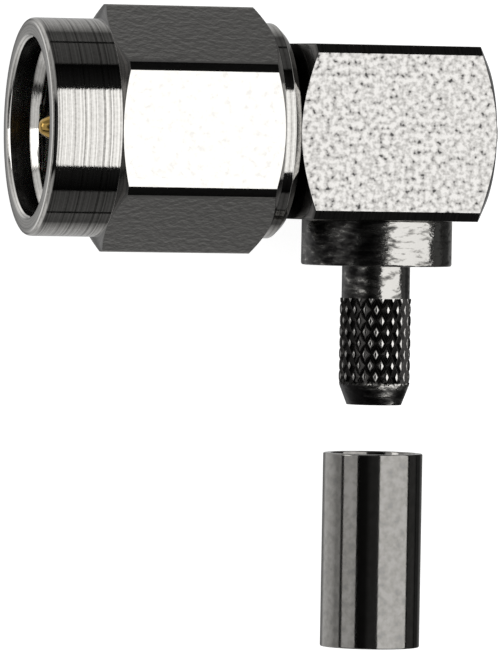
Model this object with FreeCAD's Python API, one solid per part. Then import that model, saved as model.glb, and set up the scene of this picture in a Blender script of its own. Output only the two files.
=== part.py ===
import FreeCAD, Part
import math
import os

# Right-angle plug of the SMA coaxial interface, with a crimp stem for 2.6 mm cable.
# Millimetres. X is the axis of the plug and its mouth faces -X. The cable stem points to -Y,
# and +Z is the side that looks up when the plug lies on a flat of its nut. The origin is on
# the axis, in the reference plane of the interface: the front face of the outer contact.

# Thread of the interface, 1/4-36. It is drawn as the plain hole that it is cut in.
thread_diameter = 6.35
thread_depth = 0.31

# Coupling nut along its axis. Its front stands nut_reach ahead of the reference plane.
nut_reach = 2.54
barrel_length = 2.57
hex_length = 6.10
skirt_length = 0.64
pilot_depth = 0.85
runout_length = 1.15

# Coupling nut across its axis, from the thread outwards
pilot_room = 0.05
mouth_flare = 0.175
mouth_lip = 0.57
barrel_relief = 0.03
skirt_relief = 0.06
nut_wall = 0.60
ring_hold = 0.35

# Bevels of the coupling nut
barrel_edge = 0.06
skirt_bevel = 0.27
hex_front_angle = 22.0
hex_rear_angle = 30.0
hex_edge_break = 0.18
rear_lead = 0.15

# Outer contact, which carries the nut on its neck and is pressed into the block.
# The wall of the mating jack fills the space from its sleeve to the thread.
jack_wall = 0.89
sleeve_length = 1.70
sleeve_wall = 0.23
sleeve_edge = 0.10
gasket_seat_step = 0.165
neck_edge = 0.08
tail_length = 1.52
tail_bore_length = 2.00
tail_wall = 0.80

# Face gasket
gasket_thickness = 0.60
gasket_lip = 0.05
gasket_wall = 0.65

# Split ring that holds the nut on the neck
ring_setback = 1.75
ring_thickness = 0.50
ring_wall = 0.60
ring_split = 0.90

# Centre pin
pin_reach = 2.13
pin_diameter = 0.914
pin_tip_diameter = 0.42
pin_taper_length = 0.42
pin_tip_rounding = 0.08
pin_shank_diameter = 1.27
pin_collar_step = 0.315
pin_collar_setback = 3.90
pin_collar_length = 0.80
pin_overrun = 0.58
conductor_diameter = 0.51
slot_length = 1.30

# Square body block with turned ends
block_width = 6.40
block_length = 7.44
block_edge_break = 0.33
block_end_land = 0.05
block_end_angle = 28.0
tail_socket_wall = 0.70

# Access cap behind the pin, and the insulating disc under it
cap_socket_wall = 0.80
cap_ledge = 0.50
cap_thickness = 0.80
cap_edge = 0.10
stud_diameter = 1.33
stud_length = 0.80
stud_edge = 0.10
disc_thickness = 0.50

# Crimp stem. It stands on the block stem_setback behind the block's front.
stem_setback = 3.84
stem_spigot_diameter = 4.00
stem_spigot_length = 1.00
stem_bore_diameter = 1.60
collar_diameter = 5.54
collar_length = 1.68
collar_edge = 0.08
stem_neck_length = 1.20
knurl_length = 3.12
lead_length = 0.79
lead_wall = 0.205
lead_rise = 0.305
lead_edge = 0.06

# Diamond knurl. Its crests stand knurl_rise above the neck, the first one knurl_turn
# degrees round the stem from its upper side.
knurl_rise = 0.055
knurl_turn = 4.5
knurl_lag = 0.04
diamonds_round = 19
diamond_pitch = 0.41
groove_depth = 0.11
crest_share = 0.34

# Crimp ferrule, drawn off the stem by ferrule_travel
braid_room = 0.24
ferrule_wall = 0.28
ferrule_length = 7.13
ferrule_edge = 0.06
ferrule_travel = 6.84

# Room between pieces that move on each other
nut_running_room = 0.05
nut_end_room = 0.10
ring_floor_room = 0.30
ring_side_room = 0.05
ring_outer_room = 0.10
gasket_room = 0.20
ferrule_end_room = 0.05
slot_room = 0.02

# Radii of the nut, and of what turns in it
thread_radius = thread_diameter / 2
thread_hole_radius = thread_radius - thread_depth
pilot_radius = thread_radius + pilot_room
mouth_radius = pilot_radius + mouth_flare
barrel_radius = mouth_radius + mouth_lip
flat_radius = barrel_radius + barrel_relief
corner_radius = flat_radius * 2 / math.sqrt(3)
skirt_radius = flat_radius - skirt_relief
nut_groove_radius = flat_radius - nut_wall
nut_bore_radius = nut_groove_radius - ring_hold
neck_radius = nut_bore_radius - nut_running_room
ring_outer_radius = nut_groove_radius - ring_outer_room
ring_inner_radius = ring_outer_radius - ring_wall
neck_groove_radius = ring_inner_radius - ring_floor_room
groove_half_width = ring_thickness / 2 + ring_side_room

# Radii of the contacts
sleeve_radius = thread_radius - jack_wall
sleeve_bore_radius = sleeve_radius - sleeve_wall
gasket_seat_radius = sleeve_radius + gasket_seat_step
gasket_radius = gasket_seat_radius + gasket_wall
shank_radius = pin_shank_diameter / 2
pin_collar_radius = shank_radius + pin_collar_step

# Radii in the block
block_half = block_width / 2
tail_radius = block_half - tail_socket_wall
tail_bore_radius = tail_radius - tail_wall
cap_radius = block_half - cap_socket_wall
cavity_radius = cap_radius - cap_ledge

# Radii of the stem and ferrule
stem_bore_radius = stem_bore_diameter / 2
lead_radius = stem_bore_radius + lead_wall
knurl_radius = lead_radius + lead_rise
stem_neck_radius = knurl_radius - knurl_rise
groove_radius = knurl_radius - groove_depth
ferrule_bore_radius = knurl_radius + braid_room

# Stations along the axis of the plug
nut_front = -nut_reach
hex_front = nut_front + barrel_length
hex_rear = hex_front + hex_length
nut_rear = hex_rear + skirt_length
block_front = nut_rear + nut_end_room
block_rear = block_front + block_length
gasket_front = sleeve_length + gasket_lip
neck_front = gasket_front + gasket_thickness
ring_centre = neck_front + ring_setback
groove_front = ring_centre - groove_half_width
groove_rear = ring_centre + groove_half_width
collar_middle = pin_collar_setback + pin_collar_length / 2
collar_rear = pin_collar_setback + pin_collar_length
tail_rear = block_front + tail_length
tail_bore_front = tail_rear - tail_bore_length
stem_x = block_front + stem_setback
pin_rear = stem_x + pin_overrun
cap_seat = block_rear - cap_thickness

# Stations down the stem, measured from the axis of the plug
spigot_top = block_half - stem_spigot_length
collar_end = block_half + collar_length
knurl_start = collar_end + stem_neck_length
knurl_end = knurl_start + knurl_length
stem_end = knurl_end + lead_length
ferrule_top = collar_end + ferrule_end_room + ferrule_travel
ferrule_end = ferrule_top + ferrule_length

ORIGIN = FreeCAD.Vector(0, 0, 0)
ALONG_PLUG = FreeCAD.Vector(1, 0, 0)
DOWN_STEM = FreeCAD.Vector(0, -1, 0)
UPWARD = FreeCAD.Vector(0, 0, 1)
STEM_AXIS = FreeCAD.Vector(stem_x, 0, 0)
TOUCH = 1e-4


def turned(outline, start, along):
    """Solid of revolution; outline holds (distance along the axis, radius) round the section."""
    corners = [start + along * distance + UPWARD * radius for distance, radius in outline]
    section = Part.Face(Part.makePolygon(corners + corners[:1]))
    solid = section.revolve(start, along, 360)
    return solid if solid.Volume > 0 else solid.reversed()


def on_plug_axis(outline):
    return turned(outline, ORIGIN, ALONG_PLUG)


def on_stem_axis(outline):
    return turned(outline, STEM_AXIS, DOWN_STEM)


def disc(front, rear, radius):
    """Outline of a plain disc."""
    return [(front, 0), (front, radius), (rear, radius), (rear, 0)]


def washer(front, rear, outer, inner):
    """Outline of a plain ring."""
    return [(front, outer), (rear, outer), (rear, inner), (front, inner)]


def long_edges(solid, shortest):
    """Straight edges along the plug that are longer than a given length."""
    found = []
    for edge in solid.Edges:
        run = edge.Vertexes[-1].Point - edge.Vertexes[0].Point
        if run.Length > shortest and run.cross(ALONG_PLUG).Length < TOUCH:
            found.append(edge)
    return found


def coupling_nut():
    """Hexagon bar turned to a barrel in front and a skirt behind, bored from both ends."""
    front_slope = (corner_radius - barrel_radius) * math.tan(math.radians(hex_front_angle))
    rear_slope = (corner_radius - skirt_radius) * math.tan(math.radians(hex_rear_angle))
    pilot_end = nut_front + pilot_depth
    runout_rear = neck_front + nut_end_room
    runout_front = runout_rear - runout_length
    runout_radius = gasket_radius + gasket_room
    section = [
        (nut_front, mouth_radius),
        (nut_front, barrel_radius - barrel_edge),
        (nut_front + barrel_edge, barrel_radius),
        (hex_front, barrel_radius),
        (hex_front + front_slope, corner_radius),
        (hex_rear - rear_slope, corner_radius),
        (hex_rear, skirt_radius),
        (nut_rear - skirt_bevel, skirt_radius),
        (nut_rear, skirt_radius - skirt_bevel),
        (nut_rear, nut_bore_radius + rear_lead),
        (nut_rear - rear_lead, nut_bore_radius),
        (groove_rear, nut_bore_radius),
        (groove_rear, nut_groove_radius),
        (groove_front, nut_groove_radius),
        (groove_front, nut_bore_radius),
        (runout_rear, nut_bore_radius),
        (runout_rear, runout_radius),
        (runout_front, runout_radius),
        (runout_front, thread_hole_radius),
        (pilot_end + pilot_radius - thread_hole_radius, thread_hole_radius),
        (pilot_end, pilot_radius),
        (nut_front + mouth_flare, pilot_radius),
    ]
    return on_plug_axis(section).common(hexagon_bar())


def hexagon_bar():
    """Bar with two flats level, above and below, and its six long edges broken."""
    turns = [math.radians(60 * step) for step in range(6)]
    corners = [
        FreeCAD.Vector(nut_front, corner_radius * math.cos(turn), corner_radius * math.sin(turn))
        for turn in turns
    ]
    hexagon = Part.Face(Part.makePolygon(corners + corners[:1]))
    bar = hexagon.extrude(ALONG_PLUG * (nut_rear - nut_front))
    return bar.makeChamfer(hex_edge_break, long_edges(bar, hex_length))


def retaining_ring():
    """Flat ring, cut open so that it can close into the neck's groove while the nut goes on."""
    front = ring_centre - ring_thickness / 2
    rear = ring_centre + ring_thickness / 2
    ring = on_plug_axis(washer(front, rear, ring_outer_radius, ring_inner_radius))
    corner = FreeCAD.Vector(front, 0, -ring_split / 2)
    split = Part.makeBox(ring_thickness, 2 * ring_outer_radius, ring_split, corner)
    return ring.cut(split)


def face_gasket():
    """Rubber washer on its seat, ahead of the neck."""
    return on_plug_axis(washer(gasket_front, neck_front, gasket_radius, gasket_seat_radius))


def outer_contact():
    """Turned sleeve, gasket seat, grooved neck and press-in tail in one piece."""
    return on_plug_axis([
        (0, sleeve_bore_radius),
        (0, sleeve_radius - sleeve_edge),
        (sleeve_edge, sleeve_radius),
        (sleeve_length, sleeve_radius),
        (sleeve_length, gasket_seat_radius),
        (neck_front, gasket_seat_radius),
        (neck_front, neck_radius - neck_edge),
        (neck_front + neck_edge, neck_radius),
        (groove_front, neck_radius),
        (groove_front, neck_groove_radius),
        (groove_rear, neck_groove_radius),
        (groove_rear, neck_radius),
        (block_front, neck_radius),
        (block_front, tail_radius),
        (tail_rear, tail_radius),
        (tail_rear, tail_bore_radius),
        (tail_bore_front, tail_bore_radius),
        (tail_bore_front, sleeve_bore_radius),
    ])


def front_insulator():
    """Dielectric bush, flush with the reference plane and recessed for the pin's collar."""
    return on_plug_axis([
        (0, shank_radius),
        (0, sleeve_bore_radius),
        (collar_middle, sleeve_bore_radius),
        (collar_middle, pin_collar_radius),
        (pin_collar_setback, pin_collar_radius),
        (pin_collar_setback, shank_radius),
    ])


def back_insulator():
    """Dielectric bush behind the pin's collar, stepped to sit on the shoulder of the contact."""
    return on_plug_axis([
        (collar_middle, pin_collar_radius),
        (collar_middle, sleeve_bore_radius),
        (tail_bore_front, sleeve_bore_radius),
        (tail_bore_front, tail_bore_radius),
        (tail_rear, tail_bore_radius),
        (tail_rear, shank_radius),
        (collar_rear, shank_radius),
        (collar_rear, pin_collar_radius),
    ])


def centre_pin():
    """Pin with a tapered nose, a collar held between the insulators and a slot for the wire."""
    pin_radius = pin_diameter / 2
    solid = on_plug_axis([
        (-pin_reach, 0),
        (-pin_reach, pin_tip_diameter / 2),
        (pin_taper_length - pin_reach, pin_radius),
        (0, pin_radius),
        (0, shank_radius),
        (pin_collar_setback, shank_radius),
        (pin_collar_setback, pin_collar_radius),
        (collar_rear, pin_collar_radius),
        (collar_rear, shank_radius),
        (pin_rear, shank_radius),
        (pin_rear, 0),
    ])
    nose = [edge for edge in solid.Edges if edge.BoundBox.XMax < TOUCH - pin_reach]
    solid = solid.makeFillet(pin_tip_rounding, nose)
    slot_width = conductor_diameter + 2 * slot_room
    corner = FreeCAD.Vector(pin_rear - slot_length, -shank_radius, -slot_width / 2)
    slot = Part.makeBox(slot_length, pin_shank_diameter, slot_width, corner)
    return solid.cut(slot)


def body_block():
    """Square bar with bevelled long edges and coned ends, bored for contact, cap and stem."""
    corner = FreeCAD.Vector(block_front, -block_half, -block_half)
    bar = Part.makeBox(block_length, block_width, block_width, corner)
    bar = bar.makeChamfer(block_edge_break, long_edges(bar, block_length / 2))
    end_radius = block_half - block_end_land
    widest = block_half * math.sqrt(2)
    slope = (widest - end_radius) * math.tan(math.radians(block_end_angle))
    coned = on_plug_axis([
        (block_front, 0),
        (block_front, end_radius),
        (block_front + slope, widest),
        (block_rear - slope, widest),
        (block_rear, end_radius),
        (block_rear, 0),
    ])
    bores = on_plug_axis([
        (block_front, 0),
        (block_front, tail_radius),
        (tail_rear, tail_radius),
        (tail_rear, cavity_radius),
        (cap_seat, cavity_radius),
        (cap_seat, cap_radius),
        (block_rear, cap_radius),
        (block_rear, 0),
    ])
    stem_holes = on_stem_axis([
        (0, 0),
        (0, stem_bore_radius),
        (spigot_top, stem_bore_radius),
        (spigot_top, stem_spigot_diameter / 2),
        (block_half, stem_spigot_diameter / 2),
        (block_half, 0),
    ])
    return bar.common(coned).cut(bores.fuse(stem_holes))


def cap_insulator():
    """Disc that keeps the soldered end of the pin off the cap."""
    return on_plug_axis(disc(cap_seat - disc_thickness, cap_seat, cavity_radius))


def access_cap():
    """Disc pressed flush into the rear of the block, with a short stud in its middle."""
    stud_radius = stud_diameter / 2
    stud_end = block_rear + stud_length
    return on_plug_axis([
        (cap_seat, 0),
        (cap_seat, cap_radius),
        (block_rear - cap_edge, cap_radius),
        (block_rear, cap_radius - cap_edge),
        (block_rear, stud_radius),
        (stud_end - stud_edge, stud_radius),
        (stud_end, stud_radius - stud_edge),
        (stud_end, 0),
    ])


def crimp_stem():
    """Spigot, collar, neck, knurled length and tapered lead, bored through for the cable core."""
    collar_radius = collar_diameter / 2
    shoulder = on_stem_axis([
        (spigot_top, 0),
        (spigot_top, stem_spigot_diameter / 2),
        (block_half, stem_spigot_diameter / 2),
        (block_half, collar_radius - collar_edge),
        (block_half + collar_edge, collar_radius),
        (collar_end - collar_edge, collar_radius),
        (collar_end, collar_radius - collar_edge),
        (collar_end, stem_neck_radius),
        (knurl_start, stem_neck_radius),
        (knurl_start, 0),
    ])
    bore = on_stem_axis(disc(spigot_top, stem_end, stem_bore_radius))
    return shoulder.fuse(knurled_length()).cut(bore)


def knurled_length():
    """Rows of diamonds between crossed V grooves, each row half a diamond on from the last.

    The diamonds run on under the lead, which is turned to its taper after them.
    """
    rows = math.ceil((knurl_length + lead_length) / diamond_pitch) + 1
    faces = []
    for row in range(rows):
        for place in range(diamonds_round):
            faces += diamond(row, 2 * place + row % 2)
    faces += end_star(0, -1)
    faces += end_star(rows - 1, 1)
    bar = Part.Solid(Part.Shell(faces))
    taper = lead_rise / lead_length
    envelope = on_stem_axis([
        (knurl_start, 0),
        (knurl_start, knurl_radius + taper * knurl_length),
        (stem_end - lead_edge, lead_radius + taper * lead_edge),
        (stem_end, lead_radius - lead_edge),
        (stem_end, 0),
    ])
    return bar.common(envelope)


def stem_point(row, step, across, height):
    """Point at a row of the knurl: up the radius at a half step, then across towards the next."""
    distance = knurl_start + knurl_lag + row * diamond_pitch
    turn = FreeCAD.Rotation(DOWN_STEM, knurl_turn + step * 180 / diamonds_round)
    return STEM_AXIS + DOWN_STEM * distance + turn.multVec(FreeCAD.Vector(-across, 0, height))


def flat_face(points):
    return Part.Face(Part.makePolygon(points + points[:1]))


def diamond(row, step):
    """Crest and four flanks of one diamond; its corners are where the grooves cross.

    The crest is as wide as keeps each flank flat between two crossings and two crest corners.
    """
    half_step = math.pi / diamonds_round
    dip = groove_radius * (1 - math.cos(half_step)) * (1 - crest_share)
    crest_width = groove_radius * math.sin(half_step) * crest_share * groove_depth
    crest_width /= groove_depth + dip
    crossings = [
        stem_point(row - 1, step, 0, groove_radius),
        stem_point(row, step + 1, 0, groove_radius),
        stem_point(row + 1, step, 0, groove_radius),
        stem_point(row, step - 1, 0, groove_radius),
    ]
    crest = [
        stem_point(row - crest_share, step, 0, knurl_radius),
        stem_point(row, step, crest_width, knurl_radius),
        stem_point(row + crest_share, step, 0, knurl_radius),
        stem_point(row, step, -crest_width, knurl_radius),
    ]
    faces = [flat_face(crest)]
    for side in range(4):
        corners = [crossings[side - 1], crossings[side], crest[side], crest[side - 1]]
        faces.append(flat_face(corners))
    return faces


def end_star(row, side):
    """Faces that close the knurled bar beyond an end row, from its crossings to the axis."""
    centre = stem_point(row + side, 0, 0, 0)
    faces = []
    for place in range(diamonds_round):
        step = 2 * place + row % 2
        tip = stem_point(row + side, step, 0, groove_radius)
        faces.append(flat_face([stem_point(row, step - 1, 0, groove_radius), tip, centre]))
        faces.append(flat_face([tip, stem_point(row, step + 1, 0, groove_radius), centre]))
    return faces


def crimp_ferrule():
    """Plain drawn tube that is pushed up over the braid on the knurl and crimped."""
    outer_radius = ferrule_bore_radius + ferrule_wall
    return on_stem_axis([
        (ferrule_top, ferrule_bore_radius + ferrule_edge),
        (ferrule_top, outer_radius - ferrule_edge),
        (ferrule_top + ferrule_edge, outer_radius),
        (ferrule_end - ferrule_edge, outer_radius),
        (ferrule_end, outer_radius - ferrule_edge),
        (ferrule_end, ferrule_bore_radius + ferrule_edge),
        (ferrule_end - ferrule_edge, ferrule_bore_radius),
        (ferrule_top + ferrule_edge, ferrule_bore_radius),
    ])


pieces = {
    "coupling_nut": coupling_nut(),
    "retaining_ring": retaining_ring(),
    "face_gasket": face_gasket(),
    "outer_contact": outer_contact(),
    "front_insulator": front_insulator(),
    "back_insulator": back_insulator(),
    "centre_pin": centre_pin(),
    "body_block": body_block(),
    "cap_insulator": cap_insulator(),
    "access_cap": access_cap(),
    "crimp_stem": crimp_stem(),
    "crimp_ferrule": crimp_ferrule(),
}

os.makedirs("parts", exist_ok=True)
for name, solid in pieces.items():
    solid.exportStep("parts/" + name + ".step")
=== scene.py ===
import math

import bmesh
import bpy
import numpy as np
from mathutils import Matrix


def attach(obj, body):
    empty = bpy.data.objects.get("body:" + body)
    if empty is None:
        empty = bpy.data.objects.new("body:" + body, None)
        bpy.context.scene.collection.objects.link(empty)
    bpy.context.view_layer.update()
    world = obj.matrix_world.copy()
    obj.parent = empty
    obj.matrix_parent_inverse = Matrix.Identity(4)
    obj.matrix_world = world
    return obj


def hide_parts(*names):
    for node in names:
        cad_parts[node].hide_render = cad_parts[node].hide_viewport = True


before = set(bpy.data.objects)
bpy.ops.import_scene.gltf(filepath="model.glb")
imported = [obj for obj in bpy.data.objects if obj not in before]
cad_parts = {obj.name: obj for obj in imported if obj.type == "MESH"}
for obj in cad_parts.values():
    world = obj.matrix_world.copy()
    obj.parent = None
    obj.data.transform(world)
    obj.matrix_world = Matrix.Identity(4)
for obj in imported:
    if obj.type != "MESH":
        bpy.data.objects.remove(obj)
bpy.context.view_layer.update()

# Outer contact: sleeve, gasket seat, grooved neck and press-in tail of the plug.
# It is turned in one piece from free-machining brass bar and nickel plated. Only its neck
# shows, between nut and block, and its sleeve, inside the mouth of the nut.
MM = 0.001
sleeve_radius = 2.285
sleeve_bore_radius = 2.055
sleeve_length = 1.70
gasket_seat_radius = 2.45
neck_front = 2.35
neck_radius = 3.00
neck_groove_radius = 2.40
groove_front = 3.80
groove_rear = 4.40
block_front = 6.87
tail_radius = 2.50
tail_rear = 8.39
tail_bore_front = 6.39
tail_bore_radius = 1.70
fine_edge = 0.025
merge_reach = 1e-5
stray_edge = 1e-6


def eased(corners, steps=4):
    """Section of a turned piece from its corners, each a (distance, radius, easing).

    A corner becomes the parabola that leaves one side an easing before the corner and meets
    the next side an easing after it. Distance and radius may be arrays, one value to a column.
    """
    size = np.broadcast_shapes(*[np.shape(value) for corner in corners for value in corner])
    spots = np.array([[np.broadcast_to(value, size) for value in corner] for corner in corners])
    spots, easing = np.moveaxis(spots[:, :2], 1, -1), spots[:, 2, ..., None]
    back = np.roll(spots, 1, 0) - spots
    onward = np.roll(spots, -1, 0) - spots
    back /= np.linalg.norm(back, axis=-1, keepdims=True)
    onward /= np.linalg.norm(onward, axis=-1, keepdims=True)
    shares = np.linspace(0, 1, steps + 1)
    curve = [spots + easing * ((1 - s) ** 2 * back + s ** 2 * onward) for s in shares]
    return np.stack(curve, 1).reshape(-1, *size, 2)


def on_plug_axis(distance, radius, angle):
    """Points at a distance along X and a radius from it, at an angle from +Y towards +Z."""
    spots = np.broadcast_arrays(distance, radius * np.cos(angle), radius * np.sin(angle))
    return np.stack(spots, -1)


def skin(name, points, loop=True, ring=True, split=None, crease=28):
    """Piece whose surface runs over a grid of points in millimetres.

    loop joins the last row to the first, and ring the last column to the first. split is 1 or 2
    where a four-sided face is cut along one diagonal or the other. Points that meet are merged,
    and the faces are turned so that the volume they close is positive. U is the length along
    the section in millimetres, and V the share of the way round.
    """
    rows, columns = points.shape[:2]
    row, column = np.meshgrid(
        np.arange(rows - (not loop)), np.arange(columns - (not ring)), indexing="ij")
    near, far = row * columns, (row + 1) % rows * columns
    side = (column + 1) % columns
    quads = np.stack([near + column, near + side, far + side, far + column], -1)
    stride = np.linalg.norm(np.roll(points, -1, 0) - points, axis=-1).mean(1)
    along = np.concatenate([[0], np.cumsum(stride)])
    u = np.stack([along[row], along[row], along[row + 1], along[row + 1]], -1)
    v = np.stack([column, column + 1, column + 1, column], -1) / columns
    flat = np.stack([u, v], -1)
    split = np.zeros(row.shape, int) if split is None else split
    spots = points.reshape(-1, 3) * MM
    a, b, c, d = np.moveaxis(spots[quads], 2, 0)
    volume = (a * (np.cross(b, c) + np.cross(c, d))).sum()
    order = 1 if volume > 0 else -1
    cuts = [(0, (0, 1, 2, 3)), (1, (0, 1, 2)), (1, (0, 2, 3)), (2, (1, 2, 3)), (2, (1, 3, 0))]
    faces, uvs = [], []
    for kind, corners in cuts:
        chosen = split == kind
        faces += quads[chosen][:, corners[::order]].tolist()
        uvs.append(flat[chosen][:, corners[::order]].reshape(-1, 2))
    mesh = bpy.data.meshes.new(name)
    mesh.from_pydata(spots.tolist(), [], faces)
    mesh.uv_layers.new(name="UVMap").data.foreach_set("uv", np.concatenate(uvs).ravel())
    return finished(name, mesh, crease)


def finished(name, mesh, crease):
    """Object of a mesh, its doubles merged, smooth but for edges sharper than a crease."""
    edit = bmesh.new()
    edit.from_mesh(mesh)
    bmesh.ops.remove_doubles(edit, verts=edit.verts, dist=merge_reach * MM)
    bmesh.ops.dissolve_degenerate(edit, edges=edit.edges, dist=stray_edge * MM)
    edit.to_mesh(mesh)
    edit.free()
    mesh.shade_smooth()
    mesh.set_sharp_from_angle(angle=math.radians(crease))
    piece = bpy.data.objects.new(name, mesh)
    bpy.context.scene.collection.objects.link(piece)
    weighted = piece.modifiers.new("face_weighted_normals", "WEIGHTED_NORMAL")
    weighted.keep_sharp = True
    return piece


def turned(name, corners, place=on_plug_axis, columns=144, loop=True):
    """Surface of revolution: each point of the eased section is carried round the axis."""
    section = eased(corners)[:, None]
    angle = np.linspace(0, 2 * np.pi, columns, endpoint=False)
    return skin(name, place(section[..., 0], section[..., 1], angle), loop=loop)


def linear(code):
    """Colour of an sRGB hex code, turned to linear light."""
    parts = [int(code[i:i + 2], 16) / 255 for i in (1, 3, 5)]
    lit = [p / 12.92 if p <= 0.04045 else ((p + 0.055) / 1.055) ** 2.4 for p in parts]
    return (*lit, 1.0)


def add_node(tree, kind, inputs=None, stops=(), **settings):
    """Node of a kind with its settings; an input takes a value, or the socket that feeds it.

    stops are the positions and tones along a ramp, each tone an sRGB code or a linear grey.
    """
    node = tree.nodes.new("ShaderNode" + kind)
    for name, value in settings.items():
        setattr(node, name, value)
    for name, value in (inputs or {}).items():
        if isinstance(value, bpy.types.NodeSocket):
            tree.links.new(value, node.inputs[name])
        else:
            node.inputs[name].default_value = value
    for _ in stops[2:]:
        node.color_ramp.elements.new(1.0)
    for order, (position, tone) in enumerate(stops):
        element = node.color_ramp.elements[order]
        element.position = position
        element.color = linear(tone) if isinstance(tone, str) else (tone, tone, tone, 1)
    return node


def new_surface(name):
    """Empty material, and its node tree."""
    material = bpy.data.materials.new(name)
    material.use_nodes = True
    material.node_tree.nodes.clear()
    return material, material.node_tree


def plated_brass(name, tones, roughness, ringed, rings, grain, detail=3.0):
    """Nickel plate over brass: a neutral, slightly warm metal that mirrors its surroundings.

    tones are sRGB codes from the darkest specks to the clean plate, and roughness the least
    and most. rings is the spacing and depth in millimetres of the marks a tool leaves round a
    turned piece, grain those of the pits in the plate, and detail how ragged the pits are.
    ringed is the share of the change in tone and roughness that follows the rings.
    """
    least_noise = 0.30
    material, tree = new_surface(name)
    place = add_node(tree, "TexCoord")
    apart = add_node(tree, "SeparateXYZ", {"Vector": place.outputs["UV"]})
    marks = add_node(tree, "TexNoise", {
        "W": apart.outputs["X"], "Scale": 1 / rings[0], "Detail": 3.0, "Roughness": 0.6,
    }, noise_dimensions="1D")
    pits = add_node(tree, "TexNoise", {
        "Vector": place.outputs["Object"], "Scale": 1 / (grain[0] * MM), "Detail": detail,
        "Roughness": 0.5,
    })
    pitted = add_node(tree, "Bump", {
        "Height": pits.outputs["Fac"], "Distance": grain[1] * MM, "Strength": 1.0,
    })
    turned_marks = add_node(tree, "Bump", {
        "Height": marks.outputs["Fac"], "Distance": rings[1] * MM, "Strength": 1.0,
        "Normal": pitted.outputs["Normal"],
    })
    change = add_node(tree, "Mix", {
        "Factor": ringed, "A": pits.outputs["Fac"], "B": marks.outputs["Fac"],
    })
    rough = add_node(tree, "MapRange", {
        "Value": change.outputs["Result"], "From Min": least_noise, "From Max": 0.65,
        "To Min": roughness[1], "To Max": roughness[0],
    })
    tone = add_node(tree, "ValToRGB", {"Fac": change.outputs["Result"]},
                    stops=list(zip(np.linspace(least_noise, 0.62, len(tones)), tones)))
    shader = add_node(tree, "BsdfPrincipled", {
        "Base Color": tone.outputs["Color"], "Metallic": 1.0,
        "Roughness": rough.outputs["Result"], "Normal": turned_marks.outputs["Normal"],
    })
    add_node(tree, "OutputMaterial", {"Surface": shader.outputs["BSDF"]})
    return material


# Turned, then plated: a mirror broken up by the tool's rings. The real rings are finer still,
# and are drawn 0.1 mm apart so that they show.
turned_plate = plated_brass(
    "nickel_plate_turned", ("#7a7875", "#b9b7b3", "#dddbd7"), (0.04, 0.10), 0.8,
    rings=(0.10, 0.0022), grain=(0.10, 0.0006))

contact = turned("outer_contact_turned", [
    (0, sleeve_bore_radius, fine_edge),
    (0, sleeve_radius, 0.10),
    (sleeve_length, sleeve_radius, fine_edge),
    (sleeve_length, gasket_seat_radius, fine_edge),
    (neck_front, gasket_seat_radius, fine_edge),
    (neck_front, neck_radius, 0.08),
    (groove_front, neck_radius, fine_edge),
    (groove_front, neck_groove_radius, fine_edge),
    (groove_rear, neck_groove_radius, fine_edge),
    (groove_rear, neck_radius, fine_edge),
    (block_front, neck_radius, fine_edge),
    (block_front, tail_radius, fine_edge),
    (tail_rear, tail_radius, fine_edge),
    (tail_rear, tail_bore_radius, fine_edge),
    (tail_bore_front, tail_bore_radius, fine_edge),
    (tail_bore_front, sleeve_bore_radius, fine_edge),
])
contact.data.materials.append(turned_plate)
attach(contact, "plug_body")
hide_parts("outer_contact")

# Insulators: two bushes that hold the pin's collar between them, and a disc under the cap.
# They are turned from white PTFE rod, waxy and a little translucent, and pressed in.
pin_shank_radius = 0.635
pin_collar_front = 3.90
pin_collar_middle = 4.30
pin_collar_rear = 4.70
pin_collar_radius = 0.95
disc_front = 13.01
cap_seat = 13.51
cavity_radius = 1.90
press_room = 0.01

# PTFE as turned: milk white and waxy, with light passing a little way in.
ptfe, tree = new_surface("ptfe_white")
place = add_node(tree, "TexCoord")
swirl = add_node(tree, "TexNoise", {
    "Vector": place.outputs["Object"], "Scale": 1 / (0.25 * MM), "Detail": 3.0,
})
knife = add_node(tree, "Bump", {
    "Height": swirl.outputs["Fac"], "Distance": 0.004 * MM, "Strength": 1.0,
})
tone = add_node(tree, "ValToRGB", {"Fac": swirl.outputs["Fac"]}, stops=[
    (0.3, "#e9e8e3"), (0.7, "#f6f5f1"),
])
shader = add_node(tree, "BsdfPrincipled", {
    "Base Color": tone.outputs["Color"], "Roughness": 0.42, "IOR": 1.35,
    "Subsurface Weight": 0.25, "Subsurface Scale": 0.4 * MM, "Normal": knife.outputs["Normal"],
})
add_node(tree, "OutputMaterial", {"Surface": shader.outputs["BSDF"]})

bushes = {
    "front_insulator": [
        (0, pin_shank_radius, fine_edge),
        (0, sleeve_bore_radius - press_room, fine_edge),
        (pin_collar_middle, sleeve_bore_radius - press_room, fine_edge),
        (pin_collar_middle, pin_collar_radius, fine_edge),
        (pin_collar_front, pin_collar_radius, fine_edge),
        (pin_collar_front, pin_shank_radius, fine_edge),
    ],
    "back_insulator": [
        (pin_collar_middle, pin_collar_radius, fine_edge),
        (pin_collar_middle, sleeve_bore_radius - press_room, fine_edge),
        (tail_bore_front, sleeve_bore_radius - press_room, fine_edge),
        (tail_bore_front, tail_bore_radius - press_room, fine_edge),
        (tail_rear, tail_bore_radius - press_room, fine_edge),
        (tail_rear, pin_shank_radius, fine_edge),
        (pin_collar_rear, pin_shank_radius, fine_edge),
        (pin_collar_rear, pin_collar_radius, fine_edge),
    ],
    "cap_insulator": [
        (disc_front, 0, 0),
        (disc_front, cavity_radius - press_room, fine_edge),
        (cap_seat, cavity_radius - press_room, fine_edge),
        (cap_seat, 0, 0),
    ],
}
for node, corners in bushes.items():
    bush = turned(node + "_ptfe", corners, columns=96, loop=node != "cap_insulator")
    bush.data.materials.append(ptfe)
    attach(bush, "plug_body")
    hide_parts(node)

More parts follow.
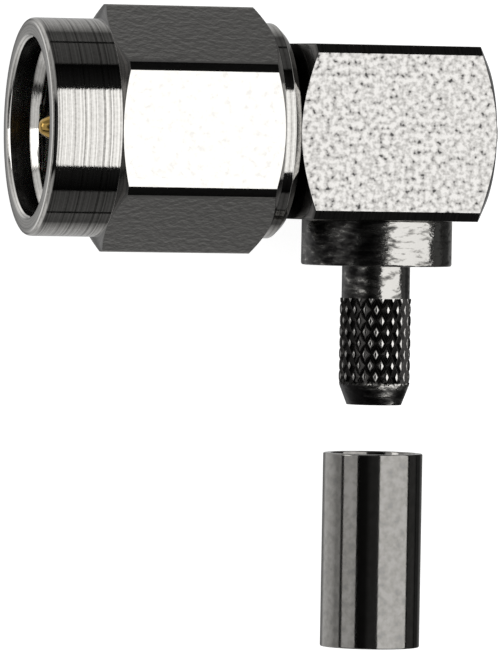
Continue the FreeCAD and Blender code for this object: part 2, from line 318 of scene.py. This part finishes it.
# Centre pin: tapered nose, shank, collar, and a slot at the rear for the cable's wire.
# It is turned from brass and gold plated. Only its nose shows, in the mouth of the nut.
pin_tip = -2.13
pin_tip_radius = 0.21
pin_taper_end = -1.71
pin_radius = 0.457
pin_rear = 11.29
slot_front = 9.99
slot_half = 0.275
lug_overlap = 0.30

# Gold plate on bright brass: a yellow mirror under a slight haze.
gold, tree = new_surface("gold_plate_bright")
place = add_node(tree, "TexCoord")
haze = add_node(tree, "TexNoise", {
    "Vector": place.outputs["Object"], "Scale": 1 / (0.12 * MM), "Detail": 3.0,
})
haze_bump = add_node(tree, "Bump", {
    "Height": haze.outputs["Fac"], "Distance": 0.0008 * MM, "Strength": 1.0,
})
tone = add_node(tree, "ValToRGB", {"Fac": haze.outputs["Fac"]}, stops=[
    (0.3, "#a08246"), (0.7, "#bc9c5c"),
])
shader = add_node(tree, "BsdfPrincipled", {
    "Base Color": tone.outputs["Color"], "Metallic": 1.0, "Roughness": 0.14,
    "Normal": haze_bump.outputs["Normal"],
})
add_node(tree, "OutputMaterial", {"Surface": shader.outputs["BSDF"]})

pin = turned("centre_pin_turned", [
    (pin_tip, 0, 0),
    (pin_tip, pin_tip_radius, 0.17),
    (pin_taper_end, pin_radius, 0.06),
    (0, pin_radius, 0.015),
    (0, pin_shank_radius, 0.015),
    (pin_collar_front, pin_shank_radius, 0.02),
    (pin_collar_front, pin_collar_radius, 0.02),
    (pin_collar_rear, pin_collar_radius, 0.02),
    (pin_collar_rear, pin_shank_radius, 0.02),
    (slot_front, pin_shank_radius, 0.02),
    (slot_front, 0, 0),
], columns=96, loop=False)


def slot_lug(name, side):
    """Half of the slotted end: a bar whose section is the circle's part beyond the slot.

    Across it, the height follows the circle above and the slot's wall below, and its ends
    close in to the section's middle.
    """
    reach = math.acos(slot_half / pin_shank_radius)
    arc = np.linspace(-reach, reach, 25)
    wall = np.linspace(1, -1, 9)[1:-1] * pin_shank_radius * math.sin(reach)
    across = np.concatenate([pin_shank_radius * np.sin(arc), wall])
    height = np.concatenate([pin_shank_radius * np.cos(arc), np.full(len(wall), slot_half)])
    along = np.array([slot_front - lug_overlap, slot_front - lug_overlap, pin_rear, pin_rear])
    spread = np.array([0, 1, 1, 0])[:, None]
    middle = (slot_half + pin_shank_radius) / 2
    points = np.stack(np.broadcast_arrays(
        along[:, None], across * spread, side * (middle + (height - middle) * spread)), -1)
    return skin(name, points, loop=False)


pin.data.materials.append(gold)
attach(pin, "plug_body")
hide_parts("centre_pin")
for side, name in ((1, "centre_pin_lug_upper"), (-1, "centre_pin_lug_lower")):
    lug = slot_lug(name, side)
    lug.data.materials.append(gold)
    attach(lug, "plug_body")

# Face gasket: a square-cut washer of brick-red silicone rubber on its seat ahead of the neck,
# against which the mating jack is drawn. Moulded sheet, dull and slightly dusty.
gasket_front = 1.75
gasket_radius = 3.10

# Silicone rubber as moulded: brick red and matt, with a bloom of dust.
silicone, tree = new_surface("silicone_rubber_red")
place = add_node(tree, "TexCoord")
dust = add_node(tree, "TexNoise", {
    "Vector": place.outputs["Object"], "Scale": 1 / (0.08 * MM), "Detail": 4.0,
})
dust_bump = add_node(tree, "Bump", {
    "Height": dust.outputs["Fac"], "Distance": 0.006 * MM, "Strength": 1.0,
})
tone = add_node(tree, "ValToRGB", {"Fac": dust.outputs["Fac"]}, stops=[
    (0.3, "#8a3a28"), (0.75, "#a2503b"),
])
shader = add_node(tree, "BsdfPrincipled", {
    "Base Color": tone.outputs["Color"], "Roughness": 0.62, "IOR": 1.41, "Sheen Weight": 0.15,
    "Normal": dust_bump.outputs["Normal"],
})
add_node(tree, "OutputMaterial", {"Surface": shader.outputs["BSDF"]})

gasket = turned("face_gasket_washer", [
    (gasket_front, gasket_radius, 0.06),
    (neck_front, gasket_radius, 0.06),
    (neck_front, gasket_seat_radius, 0.04),
    (gasket_front, gasket_seat_radius, 0.04),
], columns=112)
gasket.data.materials.append(silicone)
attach(gasket, "plug_body")
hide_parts("face_gasket")

# Retaining ring: a flat split ring that holds the nut on the neck, out of sight in its
# groove. It is stamped from phosphor bronze strip and left bare, brown and softly shining.
ring_front = 3.85
ring_rear = 4.35
ring_outer_radius = 3.30
ring_inner_radius = 2.70
ring_half_split = 0.45

# Phosphor bronze strip, left bare: brown, softly shining and stained in patches.
bronze, tree = new_surface("phosphor_bronze_bare")
place = add_node(tree, "TexCoord")
tone_shift = add_node(tree, "TexNoise", {
    "Vector": place.outputs["Object"], "Scale": 1 / (0.5 * MM), "Detail": 4.0,
})
tone = add_node(tree, "ValToRGB", {"Fac": tone_shift.outputs["Fac"]}, stops=[
    (0.35, "#a97c52"), (0.7, "#c9a173"),
])
shader = add_node(tree, "BsdfPrincipled", {
    "Base Color": tone.outputs["Color"], "Metallic": 1.0, "Roughness": 0.32,
})
add_node(tree, "OutputMaterial", {"Surface": shader.outputs["BSDF"]})


def split_ring(name):
    """Ring with a gap on its +Y side.

    The eased section is carried round from one side of the gap to the other, and closes in to
    its middle at both ends.
    """
    section = eased([
        (ring_front, ring_outer_radius, 0.04),
        (ring_rear, ring_outer_radius, 0.04),
        (ring_rear, ring_inner_radius, 0.04),
        (ring_front, ring_inner_radius, 0.04),
    ])[:, None]
    gap = math.asin(ring_half_split / ring_outer_radius)
    angle = np.linspace(gap, 2 * np.pi - gap, 120)
    angle = np.concatenate([angle[:1], angle, angle[-1:]])
    spread = np.ones(len(angle))
    spread[[0, -1]] = 0
    middle = section.mean(0, keepdims=True)
    section = middle + (section - middle) * spread[:, None]
    return skin(name, on_plug_axis(section[..., 0], section[..., 1], angle), ring=False)


clip = split_ring("retaining_ring_split")
clip.data.materials.append(bronze)
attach(clip, "plug_body")
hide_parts("retaining_ring")

# Coupling nut: hexagon bar turned to a barrel in front and a skirt behind, and threaded
# 1/4-36 inside. Nickel plated brass: ringed by the tool on barrel and skirt, with painted
# shade darkening the hexagon's cones and the dull bore. The flats keep the drawn bar's skin.
nut_front = -2.54
nut_rear = 6.77
mouth_radius = 3.36
mouth_flare = 0.12
pilot_radius = 3.225
pilot_end = -1.69
lead_end = -1.36
barrel_radius = 3.97
barrel_edge = 0.20
hex_front = 0.03
hex_rear = 6.13
flat_radius = 4.00
hex_edge_radius = 4.508
hex_front_slope = math.tan(math.radians(24))
hex_rear_slope = math.tan(math.radians(30))
skirt_radius = 3.94
skirt_bevel = 0.27
nut_bore_radius = 3.05
nut_groove_radius = 3.40
runout_front = 1.30
runout_rear = 2.45
thread_pitch = 0.7056
thread_major_radius = 3.175
thread_minor_radius = 2.865
thread_root_share = 0.125
thread_flank_share = 0.507
thread_rows_per_turn = 16
relief_depth = 0.20
hex_edge_softness = 0.007
hex_flat_inset = 3.5
hex_corner_gap = 0.6
flat_tolerance = 0.01
level_slant = 0.05
cone_least_slant = 0.3
cone_most_slant = 0.97


def hexagon_columns():
    """Angles of the columns: even over each flat, close together at the broken edges."""
    turn = math.degrees(math.acos(flat_radius / hex_edge_radius))
    edge = np.array([-1.4, -0.9, -0.55, -0.3, -0.1, 0.1, 0.3, 0.55, 0.9])
    flat = np.linspace(-turn + hex_flat_inset, turn - hex_flat_inset, 15)
    side = np.concatenate([flat, turn + edge[:-1], [30 - hex_corner_gap]])
    side = np.concatenate([side, 60 - side[side > flat[-1]][::-1]])
    sides = [30 + 60 * step + side for step in range(6)]
    return np.radians(np.concatenate(sides))


def hexagon_radius(angle):
    """Reach of a hexagon with broken edges: the lesser of flat and edge, joined softly."""
    off_flat = (angle - math.radians(30) + math.pi / 6) % (math.pi / 3) - math.pi / 6
    off_edge = math.pi / 6 - np.abs(off_flat)
    flat = flat_radius / np.cos(off_flat)
    edge = hex_edge_radius / np.cos(off_edge)
    least = np.minimum(flat, edge)
    apart = np.abs(flat - edge) / hex_edge_softness
    return least - hex_edge_softness * np.log1p(np.exp(-apart))


def thread_radius(distance, angle):
    """Internal V thread: the radius falls from the root to the crest on 30 degree flanks.

    The phase is the distance in pitches less the share of a turn, so the groove is a helix.
    """
    phase = (distance / thread_pitch - angle / (2 * np.pi)) % 1
    off_root = np.abs(phase - 0.5) * 2
    fall = np.clip((off_root - thread_root_share) / thread_flank_share, 0, 1)
    return thread_major_radius - (thread_major_radius - thread_minor_radius) * fall


def coupling_nut(name):
    """Nut: in every column the section round wall and bore, with the thread's rows inside."""
    angle = hexagon_columns()
    reach = hexagon_radius(angle)
    section = eased([
        (pilot_end, pilot_radius, 0),
        (nut_front + mouth_flare, pilot_radius, 0.03),
        (nut_front, mouth_radius, 0.05),
        (nut_front, barrel_radius, barrel_edge),
        (hex_front, barrel_radius, 0.008),
        (hex_front + (reach - barrel_radius) * hex_front_slope, reach, 0.012),
        (hex_rear - (reach - skirt_radius) * hex_rear_slope, reach, 0.012),
        (hex_rear, skirt_radius, 0.012),
        (nut_rear - skirt_bevel, skirt_radius, 0.03),
        (nut_rear, skirt_radius - skirt_bevel, 0.03),
        (nut_rear, nut_bore_radius, 0.10),
        (groove_rear, nut_bore_radius, fine_edge),
        (groove_rear, nut_groove_radius, fine_edge),
        (groove_front, nut_groove_radius, fine_edge),
        (groove_front, nut_bore_radius, fine_edge),
        (runout_rear, nut_bore_radius, fine_edge),
        (runout_rear, gasket_radius + relief_depth, fine_edge),
        (runout_front, gasket_radius + relief_depth, 0),
    ])
    count = round((runout_front - pilot_end) / thread_pitch * thread_rows_per_turn)
    distance = np.linspace(runout_front, pilot_end, count + 1)[:-1, None]
    lead_in = pilot_radius - (distance - pilot_end)
    thread = np.maximum(thread_radius(distance, angle), lead_in)
    rows = np.stack(np.broadcast_arrays(distance, thread), -1)
    section = np.concatenate([section, rows])
    return skin(name, on_plug_axis(section[..., 0], section[..., 1], angle))


# The bar's own skin under plate: a bright mirror with shallow waves.
drawn_skin = plated_brass(
    "nickel_plate_bar_skin", ("#d6d4d0", "#e0deda", "#e6e4e0", "#e6e4e0"), (0.05, 0.09), 0.0,
    rings=(0.5, 0.0), grain=(0.24, 0.0062))
# Plate in a bore: dull, and darkened with painted shade.
bore_shade_plate = plated_brass(
    "nickel_plate_bore_painted_shade", ("#2c2b2a", "#474645", "#5a5957"), (0.16, 0.32), 0.5,
    rings=(0.10, 0.002), grain=(0.20, 0.002))
# Cones cut across the bar: the tool's rings again, under a duller plate darkened with painted
# shade.
cone_shade_plate = plated_brass(
    "nickel_plate_cones_painted_shade", ("#3a3938", "#4d4c4b", "#5c5a58"), (0.10, 0.20), 0.8,
    rings=(0.10, 0.0022), grain=(0.10, 0.0006))
nut = coupling_nut("coupling_nut_hexagon")
for plate in (turned_plate, drawn_skin, bore_shade_plate, cone_shade_plate):
    nut.data.materials.append(plate)
for face in nut.data.polygons:
    slant = abs(face.normal.x)
    reach = math.hypot(face.center.y, face.center.z)
    if slant < level_slant and reach > (flat_radius - flat_tolerance) * MM:
        face.material_index = 1
    # Bore past the lead-in: index 2, the plate darkened with painted shade.
    elif reach < nut_groove_radius * MM and face.center.x > (nut_front + mouth_flare) * MM:
        lead_in = pilot_end * MM < face.center.x < lead_end * MM
        face.material_index = 0 if lead_in else 2
    # Hexagon's cones: index 3, the plate darkened with painted shade.
    elif reach > barrel_radius * MM and cone_least_slant < slant < cone_most_slant:
        face.material_index = 3
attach(nut, "nut")
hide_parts("coupling_nut")

# Body block: square brass bar with bevelled long edges and coned ends, bored for contact,
# pin and cap. It is tumbled before it is plated, so its faces are softly pitted and silvery,
# while the turned cones and the bevels are darkened with painted shade.
block_rear = 14.31
block_half = 3.20
block_edge_radius = 4.292
block_end_radius = 3.15
block_end_slope = math.tan(math.radians(28))
cap_radius = 2.40
block_edge_softness = 0.014
block_flat_inset = 3.5
bevel_slant = 0.6


def square_columns():
    """Angles of the columns: even over each side, close together at the bevels."""
    turn = math.degrees(math.acos(block_half / block_edge_radius))
    edge = np.array([-1.6, -1.0, -0.6, -0.3, -0.1, 0.1, 0.3, 0.6, 1.0, 1.6])
    flat = np.linspace(-turn + block_flat_inset, turn - block_flat_inset, 25)
    side = np.concatenate([flat, turn + edge])
    side = np.concatenate([side, [45], 90 - (turn + edge)[::-1]])
    sides = [90 * step + side for step in range(4)]
    return np.radians(np.concatenate(sides))


def square_radius(angle):
    """Reach of a square with bevelled edges: the lesser of side and bevel, joined softly."""
    off_side = (angle + math.pi / 4) % (math.pi / 2) - math.pi / 4
    off_edge = math.pi / 4 - np.abs(off_side)
    side = block_half / np.cos(off_side)
    edge = block_edge_radius / np.cos(off_edge)
    least = np.minimum(side, edge)
    apart = np.abs(side - edge) / block_edge_softness
    return least - block_edge_softness * np.log1p(np.exp(-apart))


def body_block(name):
    """Block: in every column the section from cone to cone, and back through the bores."""
    angle = square_columns()
    reach = square_radius(angle)
    slope = (reach - block_end_radius) * block_end_slope
    section = eased([
        (block_front, tail_radius, fine_edge),
        (block_front, block_end_radius, 0.015),
        (block_front + slope, reach, 0.018),
        (block_rear - slope, reach, 0.018),
        (block_rear, block_end_radius, 0.015),
        (block_rear, cap_radius, 0.03),
        (cap_seat, cap_radius, fine_edge),
        (cap_seat, cavity_radius, fine_edge),
        (tail_rear, cavity_radius, fine_edge),
        (tail_rear, tail_radius, fine_edge),
    ])
    return skin(name, on_plug_axis(section[..., 0], section[..., 1], angle))


# Tumbled, then plated: silvery, with soft pits and a few dark specks.
tumbled_plate = plated_brass(
    "nickel_plate_tumbled",
    ("#484746", "#949290", "#a6a4a1", "#b1afac", "#bab8b5", "#c4c2bf", "#cccac7", "#d1cfcc"),
    (0.13, 0.20), 0.0, rings=(0.5, 0.0), grain=(0.20, 0.0052), detail=1.7)
block = body_block("body_block_square")
for plate in (tumbled_plate, cone_shade_plate):
    block.data.materials.append(plate)
# Cones and bevels take the plate darkened with painted shade.
for face in block.data.polygons:
    coned = cone_least_slant < abs(face.normal.x) < cone_most_slant
    bevelled = min(abs(face.normal.y), abs(face.normal.z)) > bevel_slant
    face.material_index = int(coned or bevelled)
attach(block, "plug_body")
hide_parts("body_block")

# Access cap: a turned disc pressed flush into the rear of the block once the wire is
# soldered, with the short stud it is held by. Nickel plated brass, finely ringed.
stud_radius = 0.665
stud_end = 15.11

cap = turned("access_cap_disc", [
    (cap_seat, 0, 0),
    (cap_seat, cap_radius - press_room, fine_edge),
    (block_rear, cap_radius - press_room, 0.10),
    (block_rear, stud_radius, 0.03),
    (stud_end, stud_radius, 0.09),
    (stud_end, 0, 0),
], columns=112, loop=False)
cap.data.materials.append(turned_plate)
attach(cap, "plug_body")
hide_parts("access_cap")

# Crimp stem: spigot soldered into the block, collar, neck, diamond knurl and tapered lead,
# bored for the cable's core. Turned and knurled brass: collar, neck and lead are wavy with
# plate over solder, darkened with painted shade towards -X and down the lead, and the knurl's
# burnished crests stand over grooves of painted shade, with painted shade dimming them towards
# -X.
stem_x = 10.71
spigot_top = 2.20
spigot_radius = 2.00
collar_radius = 2.77
collar_end = 4.88
stem_neck_radius = 1.255
knurl_start = 6.08
knurl_end = 9.20
knurl_radius = 1.31
knurl_depth = 0.13
knurl_turn = math.radians(4.5)
diamonds_round = 19
diamond_pitch = 0.41
diamond_cuts = 5
crest_share = 0.32
knurl_fade = 0.08
stem_end = 9.99
lead_radius = 1.005
stem_bore_radius = 0.80
side_shade_reach = 0.9
crest_shade_reach = 0.8
bright_crest_depth = 0.004


def on_stem_axis(distance, radius, angle):
    """Points at a distance down -Y and a radius from the stem, at an angle from +Z to -X."""
    spots = np.broadcast_arrays(
        stem_x - radius * np.sin(angle), -distance, radius * np.cos(angle))
    return np.stack(spots, -1)


def crimp_stem(name):
    """Stem: the eased section, with a grid of rows where the knurl is.

    At a whole step round and a whole row along whose sum is even, a diamond has its middle.
    Its height falls with the sum of the shares of a step and a row from there, from the flat
    crest to the groove, and the lead's taper trims it.
    """
    columns = 2 * diamonds_round * diamond_cuts
    step = np.arange(columns) / diamond_cuts
    angle = knurl_turn + step * math.pi / diamonds_round
    section = eased([
        (stem_end, lead_radius, 0),
        (stem_end, stem_bore_radius, fine_edge),
        (spigot_top, stem_bore_radius, fine_edge),
        (spigot_top, spigot_radius, fine_edge),
        (block_half, spigot_radius, 0.005),
        (block_half, collar_radius, 0.06),
        (collar_end, collar_radius, 0.10),
        (collar_end, stem_neck_radius, 0.05),
        (knurl_start, stem_neck_radius, 0),
    ])[:, None]
    rows = math.ceil((stem_end - knurl_start) / diamond_pitch * diamond_cuts)
    row = np.arange(rows)[:, None] / diamond_cuts
    distance = knurl_start + row * diamond_pitch
    off_step = np.abs((step + 1) % 2 - 1)
    off_row = np.abs((row + 1) % 2 - 1)
    rise = np.minimum(np.abs(1 - off_step - off_row) / (1 - crest_share), 1)
    depth = knurl_depth * np.clip((knurl_end + knurl_fade / 2 - distance) / knurl_fade, 0, 1)
    crest = knurl_radius - depth * (1 - rise)
    taper = knurl_radius - (distance - knurl_end) * (knurl_radius - lead_radius) / (
        stem_end - knurl_end)
    knurl = np.stack(np.broadcast_arrays(distance, np.minimum(crest, taper)), -1)
    section = np.broadcast_to(section, (len(section), columns, 2))
    grid = np.concatenate([section, knurl])
    split = np.zeros(grid.shape[:2], int)
    parity = (np.floor(row) + np.floor(step)) % 2
    split[len(section):] = np.where(parity == 0, 2, 1)
    return skin(name, on_stem_axis(grid[..., 0], grid[..., 1], angle), split=split)


# Plate over solder: bright waves, clouded, with painted shade darkening it towards -X and down
# the lead.
solder_plate, tree = new_surface("nickel_plate_over_solder")
place = add_node(tree, "TexCoord")
apart = add_node(tree, "SeparateXYZ", {"Vector": place.outputs["Object"]})
smear = add_node(tree, "Mapping", {"Vector": place.outputs["Object"], "Scale": (1.0, 2.6, 1.0)})
waves = add_node(tree, "TexNoise", {
    "Vector": smear.outputs["Vector"], "Scale": 1 / (0.55 * MM), "Detail": 4.0,
    "Roughness": 0.55,
})
waves_bump = add_node(tree, "Bump", {
    "Height": waves.outputs["Fac"], "Distance": 0.034 * MM, "Strength": 1.0,
})
# Painted shade: the plate darkens towards -X.
far_side_shade = add_node(tree, "MapRange", {
    "Value": apart.outputs["X"], "From Min": (stem_x - side_shade_reach) * MM,
    "From Max": stem_x * MM, "To Min": -0.20, "To Max": 0.10,
})
# Painted shade: the plate darkens down the lead, dimming its highlight.
lead_shade = add_node(tree, "MapRange", {
    "Value": apart.outputs["Y"], "From Min": -knurl_end * MM,
    "From Max": -(knurl_end + stem_end) / 2 * MM, "To Min": 0.0, "To Max": -0.28,
})
tone_shift = add_node(tree, "Math", {
    0: far_side_shade.outputs["Result"], 1: lead_shade.outputs["Result"],
}, operation="ADD")
waves_and_shade = add_node(tree, "Math", {
    0: waves.outputs["Fac"], 1: tone_shift.outputs["Value"],
}, operation="ADD")
cloudy = add_node(tree, "MapRange", {
    "Value": waves_and_shade.outputs["Value"], "From Min": 0.35, "From Max": 0.62,
    "To Min": 0.30, "To Max": 0.09,
})
tone = add_node(tree, "ValToRGB", {"Fac": waves_and_shade.outputs["Value"]}, stops=[
    (0.18, "#1f1e1e"), (0.32, "#3a3938"), (0.42, "#5c5b59"), (0.50, "#9a9894"),
    (0.58, "#c4c2be"),
])
shader = add_node(tree, "BsdfPrincipled", {
    "Base Color": tone.outputs["Color"], "Metallic": 1.0,
    "Roughness": cloudy.outputs["Result"], "Normal": waves_bump.outputs["Normal"],
})
add_node(tree, "OutputMaterial", {"Surface": shader.outputs["BSDF"]})

# Knurled, plated and handled: bright burnished crests over dull grooves darkened with painted
# shade, and painted shade dims the crests towards -X.
knurl_plate, tree = new_surface("nickel_plate_knurled")
place = add_node(tree, "TexCoord")
out_of_axis = add_node(tree, "VectorMath", {
    0: place.outputs["Object"], 1: (stem_x * MM, 0, 0),
}, operation="SUBTRACT")
across_axis = add_node(tree, "VectorMath", {
    0: out_of_axis.outputs["Vector"], 1: (1, 0, 1),
}, operation="MULTIPLY")
off_axis = add_node(tree, "VectorMath", {0: across_axis.outputs["Vector"]}, operation="LENGTH")
# Painted shade in the grooves: the tone falls with the depth in from the crests, which stay
# bright as burnished.
burnish_and_groove_shade = add_node(tree, "MapRange", {
    "Value": off_axis.outputs["Value"], "From Min": (knurl_radius - knurl_depth) * MM,
    "From Max": (knurl_radius - bright_crest_depth) * MM, "To Min": 0.0, "To Max": 1.0,
})
apart = add_node(tree, "SeparateXYZ", {"Vector": place.outputs["Object"]})
# Painted shade: the crests are dimmed towards -X.
crest_side_shade = add_node(tree, "MapRange", {
    "Value": apart.outputs["X"], "From Min": (stem_x - crest_shade_reach) * MM,
    "From Max": stem_x * MM, "To Min": 0.90, "To Max": 1.0,
})
burnish_with_shade = add_node(tree, "Math", {
    0: burnish_and_groove_shade.outputs["Result"], 1: crest_side_shade.outputs["Result"],
}, operation="MULTIPLY")
burr = add_node(tree, "TexNoise", {
    "Vector": place.outputs["Object"], "Scale": 1 / (0.10 * MM), "Detail": 3.0,
})
burr_bump = add_node(tree, "Bump", {
    "Height": burr.outputs["Fac"], "Distance": 0.003 * MM, "Strength": 1.0,
})
dull = add_node(tree, "MapRange", {
    "Value": burnish_and_groove_shade.outputs["Result"], "From Min": 0.0, "From Max": 1.0,
    "To Min": 0.34, "To Max": 0.07,
})
tone = add_node(tree, "ValToRGB", {"Fac": burnish_with_shade.outputs["Value"]}, stops=[
    (0.0, "#6a6866"), (0.20, "#3c3b3a"), (0.84, "#2f2e2d"), (0.99, "#d6d4d0"),
])
shader = add_node(tree, "BsdfPrincipled", {
    "Base Color": tone.outputs["Color"], "Metallic": 1.0,
    "Roughness": dull.outputs["Result"], "Normal": burr_bump.outputs["Normal"],
})
add_node(tree, "OutputMaterial", {"Surface": shader.outputs["BSDF"]})

stem = crimp_stem("crimp_stem_knurled")
for plate in (solder_plate, knurl_plate):
    stem.data.materials.append(plate)
for face in stem.data.polygons:
    face.material_index = int(-knurl_end * MM < face.center.y < -knurl_start * MM)
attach(stem, "plug_body")
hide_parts("crimp_stem")

# Crimp ferrule: a plain length of drawn brass tube, annealed and nickel plated, which lies
# off the stem. It is smooth, with a duller plate than the turned pieces have.
ferrule_top = 11.77
ferrule_end = 18.90
ferrule_bore_radius = 1.55
ferrule_radius = 1.83

ferrule = turned("crimp_ferrule_tube", [
    (ferrule_top, ferrule_bore_radius, 0.05),
    (ferrule_top, ferrule_radius, 0.06),
    (ferrule_end, ferrule_radius, 0.06),
    (ferrule_end, ferrule_bore_radius, 0.05),
], place=on_stem_axis, columns=144)
# Drawn tube, annealed and plated: smooth, even and a little grey.
drawn_plate = plated_brass(
    "nickel_plate_drawn", ("#838280", "#8e8c88", "#989693"), (0.08, 0.12), 0.0,
    rings=(0.5, 0.0), grain=(0.30, 0.0016))
ferrule.data.materials.append(drawn_plate)
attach(ferrule, "ferrule")
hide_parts("crimp_ferrule")

# Studio: a white sheet lit to pale, a large softbox up on the +X side, a narrow one low on the
# -X side and a small one lower still for the nut's mouth. The polished plate also shows the
# dark room, its ground, palest on the mouth's side, and pale cards far along +Y and -Y.
floor_level = -4.01
floor_size = 4.0
softbox_middle = (0.006, -0.002)
softbox_distance = 0.40
key_turn = math.radians(38)
key_size = (0.58, 0.71)
key_power = 1.75
side_turn = math.radians(-68)
side_size = (0.245, 0.50)
side_power = 0.27
strip_turn = math.radians(-81)
strip_size = (0.13, 0.23)
strip_shift = 0.127
strip_power = 0.17
strip_distance = 0.36
room_lean = 0.16
room_reach = 1.02
card_grey = 0.30
card_gap_middle = 0.26
card_gap_edge = (0.22, 0.38)
wall_tone = "#f2f2f1"
room_greys = [
    (-1.00, 0.17), (-0.97, 0.48), (-0.70, 0.40), (-0.50, 0.18), (-0.44, 0.072), (-0.19, 0.09),
    (-0.175, 0.001), (-0.145, 0.001), (-0.13, 0.075), (0.33, 0.06), (0.36, 0.001), (0.80, 0.012),
    (0.90, 0.040),
]
# Regions of the room: the axis each lies along, where it begins and is whole, and its weight.
room_regions = {
    "mouth_side": ("X", -0.10, -0.40, 0.38),
    "ground": ("Z", -0.03, -0.08, 1.0),
    "rear_side": ("X", 0.32, 0.50, -0.55),
    "low": ("Z", -0.15, -0.30, 1.0),
    "upper_card": ("Y", 0.40, 0.55, 1.0),
    "lower_card": ("Y", -0.68, -0.78, 1.0),
}

floor_mesh = bpy.data.meshes.new("floor_sheet")
half = floor_size / 2
floor_mesh.from_pydata(
    [(-half, -half, floor_level * MM), (half, -half, floor_level * MM),
     (half, half, floor_level * MM), (-half, half, floor_level * MM)], [], [(0, 1, 2, 3)])
floor = bpy.data.objects.new("floor_sheet", floor_mesh)
bpy.context.scene.collection.objects.link(floor)
# Paper: matt white, with enough light of its own to leave shadows faint.
paper, tree = new_surface("floor_paper_white")
shader = add_node(tree, "BsdfPrincipled", {
    "Base Color": linear("#b4b4b3"), "Roughness": 0.9, "Specular IOR Level": 0.0,
    "Emission Color": (1.0, 1.0, 1.0, 1.0), "Emission Strength": 0.92,
})
add_node(tree, "OutputMaterial", {"Surface": shader.outputs["BSDF"]})
floor_mesh.materials.append(paper)
floor.visible_glossy = False


def softbox(name, turn, size, power, distance=softbox_distance, shift=0):
    """Panel light at a distance from the plug's middle, which it faces.

    turn is the angle from +Z towards +X at which it stands, and shift moves it along Y.
    """
    light = bpy.data.lights.new(name, "AREA")
    light.shape = "RECTANGLE"
    light.size, light.size_y = size
    light.energy = power
    lamp = bpy.data.objects.new(name, light)
    lamp.location = (
        softbox_middle[0] + distance * math.sin(turn), softbox_middle[1] + shift,
        distance * math.cos(turn))
    lamp.rotation_euler = (0, turn, 0)
    lamp.visible_camera = False
    bpy.context.scene.collection.objects.link(lamp)


softbox("key_softbox", key_turn, key_size, key_power)
softbox("side_softbox", side_turn, side_size, side_power)
softbox("mouth_strip", strip_turn, strip_size, strip_power, strip_distance, strip_shift)

room = bpy.data.worlds.new("studio_room")
bpy.context.scene.world = room
room.use_nodes = True
tree = room.node_tree
tree.nodes.clear()
way = add_node(tree, "TexCoord")
apart = add_node(tree, "SeparateXYZ", {"Vector": way.outputs["Generated"]})
share = {}
for region, (axis, begins, whole, weight) in room_regions.items():
    share[region] = add_node(tree, "MapRange", {
        "Value": apart.outputs[axis], "From Min": begins, "From Max": whole, "To Max": weight,
    }).outputs["Result"]
lean = add_node(tree, "Math", {
    0: apart.outputs["X"], 1: room_lean, 2: apart.outputs["Z"],
}, operation="MULTIPLY_ADD")
height = add_node(tree, "MapRange", {
    "Value": lean.outputs["Value"], "From Min": -room_reach, "From Max": room_reach,
})
tone = add_node(tree, "ValToRGB", {"Fac": height.outputs["Result"]}, stops=[
    ((level + room_reach) / (2 * room_reach), grey) for level, grey in room_greys])
glow = add_node(tree, "Math", {
    0: share["mouth_side"], 1: share["ground"],
}, operation="MULTIPLY")
left_over = add_node(tree, "Math", {
    0: share["rear_side"], 1: share["low"], 2: 1.0,
}, operation="MULTIPLY_ADD")
off_gap = add_node(tree, "Math", {
    0: apart.outputs["X"], 1: card_gap_middle,
}, operation="SUBTRACT")
beside = add_node(tree, "Math", {0: off_gap.outputs["Value"]}, operation="ABSOLUTE")
card_along = add_node(tree, "MapRange", {
    "Value": beside.outputs["Value"], "From Min": card_gap_edge[0],
    "From Max": card_gap_edge[1], "To Max": card_grey,
})
card_across = add_node(tree, "Math", {
    0: share["upper_card"], 1: share["lower_card"],
}, operation="ADD")
cards = add_node(tree, "Math", {
    0: card_along.outputs["Result"], 1: card_across.outputs["Value"], 2: glow.outputs["Value"],
}, operation="MULTIPLY_ADD")
lit = add_node(tree, "VectorMath", {
    0: tone.outputs["Color"], 1: left_over.outputs["Value"], 2: cards.outputs["Value"],
}, operation="MULTIPLY_ADD")
ray = add_node(tree, "LightPath")
seen = add_node(tree, "Mix", {
    0: ray.outputs["Is Camera Ray"], 6: lit.outputs["Vector"], 7: linear(wall_tone),
}, data_type="RGBA")
background = add_node(tree, "Background", {"Color": seen.outputs[2], "Strength": 1.0})
add_node(tree, "OutputWorld", {"Surface": background.outputs["Background"]})

# Camera: far off with a long lens, a little to the plug's mouth side of straight above, so
# that the round mouth just opens to view, and rolled by a degree.
camera_distance = 281.0
camera_yaw = math.radians(15.1)
camera_rise = math.radians(0.73)
camera_roll = math.radians(-1.0)
pixels_per_mm = 27.32
aim_point = np.array([6.0, -4.0, 0.0])
aim_off_centre = (2.9, 86.1)
frame_height = 652
sensor = 36.0

back = np.array([
    -math.sin(camera_yaw) * math.cos(camera_rise), math.sin(camera_rise),
    math.cos(camera_yaw) * math.cos(camera_rise)])
right = np.array([math.cos(camera_yaw), 0, math.sin(camera_yaw)])
up = np.cross(back, right)
right, up = (right * math.cos(camera_roll) - up * math.sin(camera_roll),
             up * math.cos(camera_roll) + right * math.sin(camera_roll))
eye = aim_point + back * camera_distance
focus = pixels_per_mm * camera_distance
sight = -back * focus - right * aim_off_centre[0] - up * aim_off_centre[1]
back = -sight / np.linalg.norm(sight)
right = np.cross(up, back)
right /= np.linalg.norm(right)
up = np.cross(back, right)
camera_data = bpy.data.cameras.new("product_camera")
camera_data.sensor_fit = "AUTO"
camera_data.sensor_width = sensor
camera_data.lens = focus * sensor / frame_height
camera_data.clip_start = 0.01
camera_data.clip_end = 10.0
camera = bpy.data.objects.new("product_camera", camera_data)
bpy.context.scene.collection.objects.link(camera)
camera.rotation_mode = "QUATERNION"
facing = np.stack([right, up, back], 1)
camera.matrix_world = Matrix([[*facing[i], eye[i] * MM] for i in range(3)] + [[0, 0, 0, 1]])
bpy.context.scene.camera = camera
bpy.context.scene.view_settings.view_transform = "Standard"
